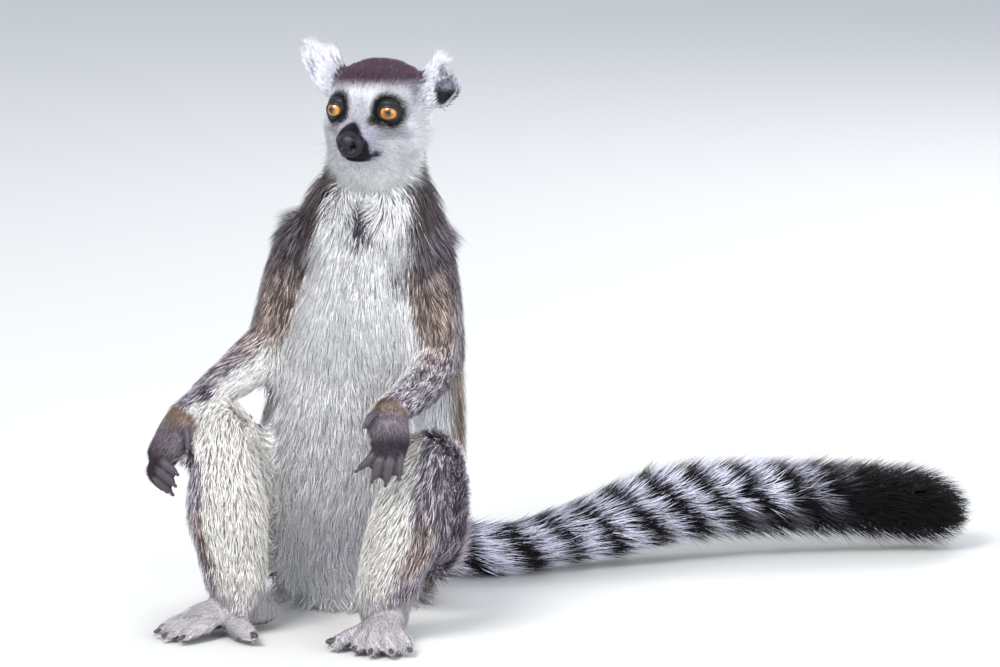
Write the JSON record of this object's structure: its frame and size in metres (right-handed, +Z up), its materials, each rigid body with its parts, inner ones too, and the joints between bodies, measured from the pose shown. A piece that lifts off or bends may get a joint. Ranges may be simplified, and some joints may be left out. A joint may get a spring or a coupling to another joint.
{
  "type": "ring-tailed lemur",
  "caption": "Ring-tailed lemur sitting upright with its forearms on its raised knees, its head turned a little and its long ringed tail laid on the ground to its left.",
  "frame": {"origin": "on the floor, under the middle of the object's box", "axes": "+Z up, the chest faces -Y, the lemur's own left is +X, and the tail is laid towards +X and a little back"},
  "size_m": [0.5162, 0.4544, 0.3982],
  "materials": {
    "coat_white": "soft pale fur of the face, throat, chest and belly",
    "coat_grey": "soft grey-brown ticked fur of the limbs and back",
    "coat_ringed": "long soft fur in black and white rings",
    "eye": "wet amber eye with a small dark pupil",
    "hand_skin": "short fur and bare dark grey skin",
    "foot_skin": "short pale fur over bare dark soles"
  },
  "bodies": {
    "root": {"ear_left": "coat_white", "ear_right": "coat_white", "eye_left": "eye", "eye_right": "eye", "foot_left": "foot_skin", "foot_right": "foot_skin", "forearm_left": "coat_grey", "forearm_right": "coat_grey", "hand_left": "hand_skin", "hand_right": "hand_skin", "head": "coat_white", "neck": "coat_white", "shank_left": "coat_grey", "shank_right": "coat_grey", "tail_1": "coat_ringed", "tail_2": "coat_ringed", "tail_3": "coat_ringed", "tail_4": "coat_ringed", "thigh_left": "coat_grey", "thigh_right": "coat_grey", "trunk": "coat_white", "upper_arm_left": "coat_grey", "upper_arm_right": "coat_grey"}
  },
  "joints": []
}
